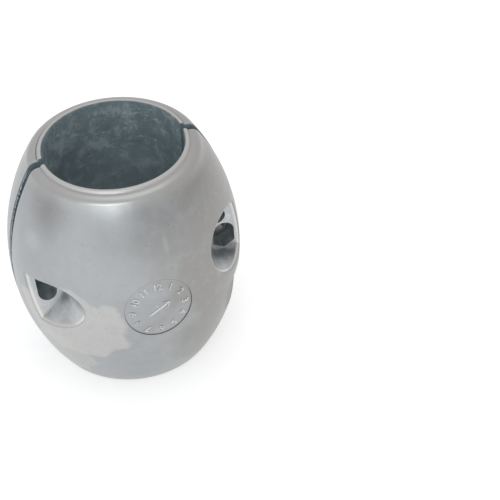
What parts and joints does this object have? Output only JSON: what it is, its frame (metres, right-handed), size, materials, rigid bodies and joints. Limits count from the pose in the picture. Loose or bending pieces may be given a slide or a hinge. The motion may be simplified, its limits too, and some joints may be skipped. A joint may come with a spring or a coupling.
{
  "type": "sacrificial anode",
  "caption": "Split cast shaft anode: barrel-shaped shells screwed together round a propeller shaft, to corrode in place of the metal near it.",
  "frame": {"origin": "centre of the lower end of the shaft bore, on the plane the anode stands on", "axes": "+Z along the shaft bore; the seam between the shells lies in the XZ plane, with the front shell towards -Y; the screws run along Y"},
  "size_m": [0.1178, 0.1172, 0.125],
  "materials": {
    "cast_zinc": "satin as-cast zinc, light grey",
    "fastener_steel": "dull stainless steel"
  },
  "bodies": {
    "root": {"half_front": "cast_zinc", "half_back": "cast_zinc", "clamp_screw_left": "fastener_steel", "clamp_screw_right": "fastener_steel", "hex_nut_left": "fastener_steel", "hex_nut_right": "fastener_steel"}
  },
  "joints": []
}
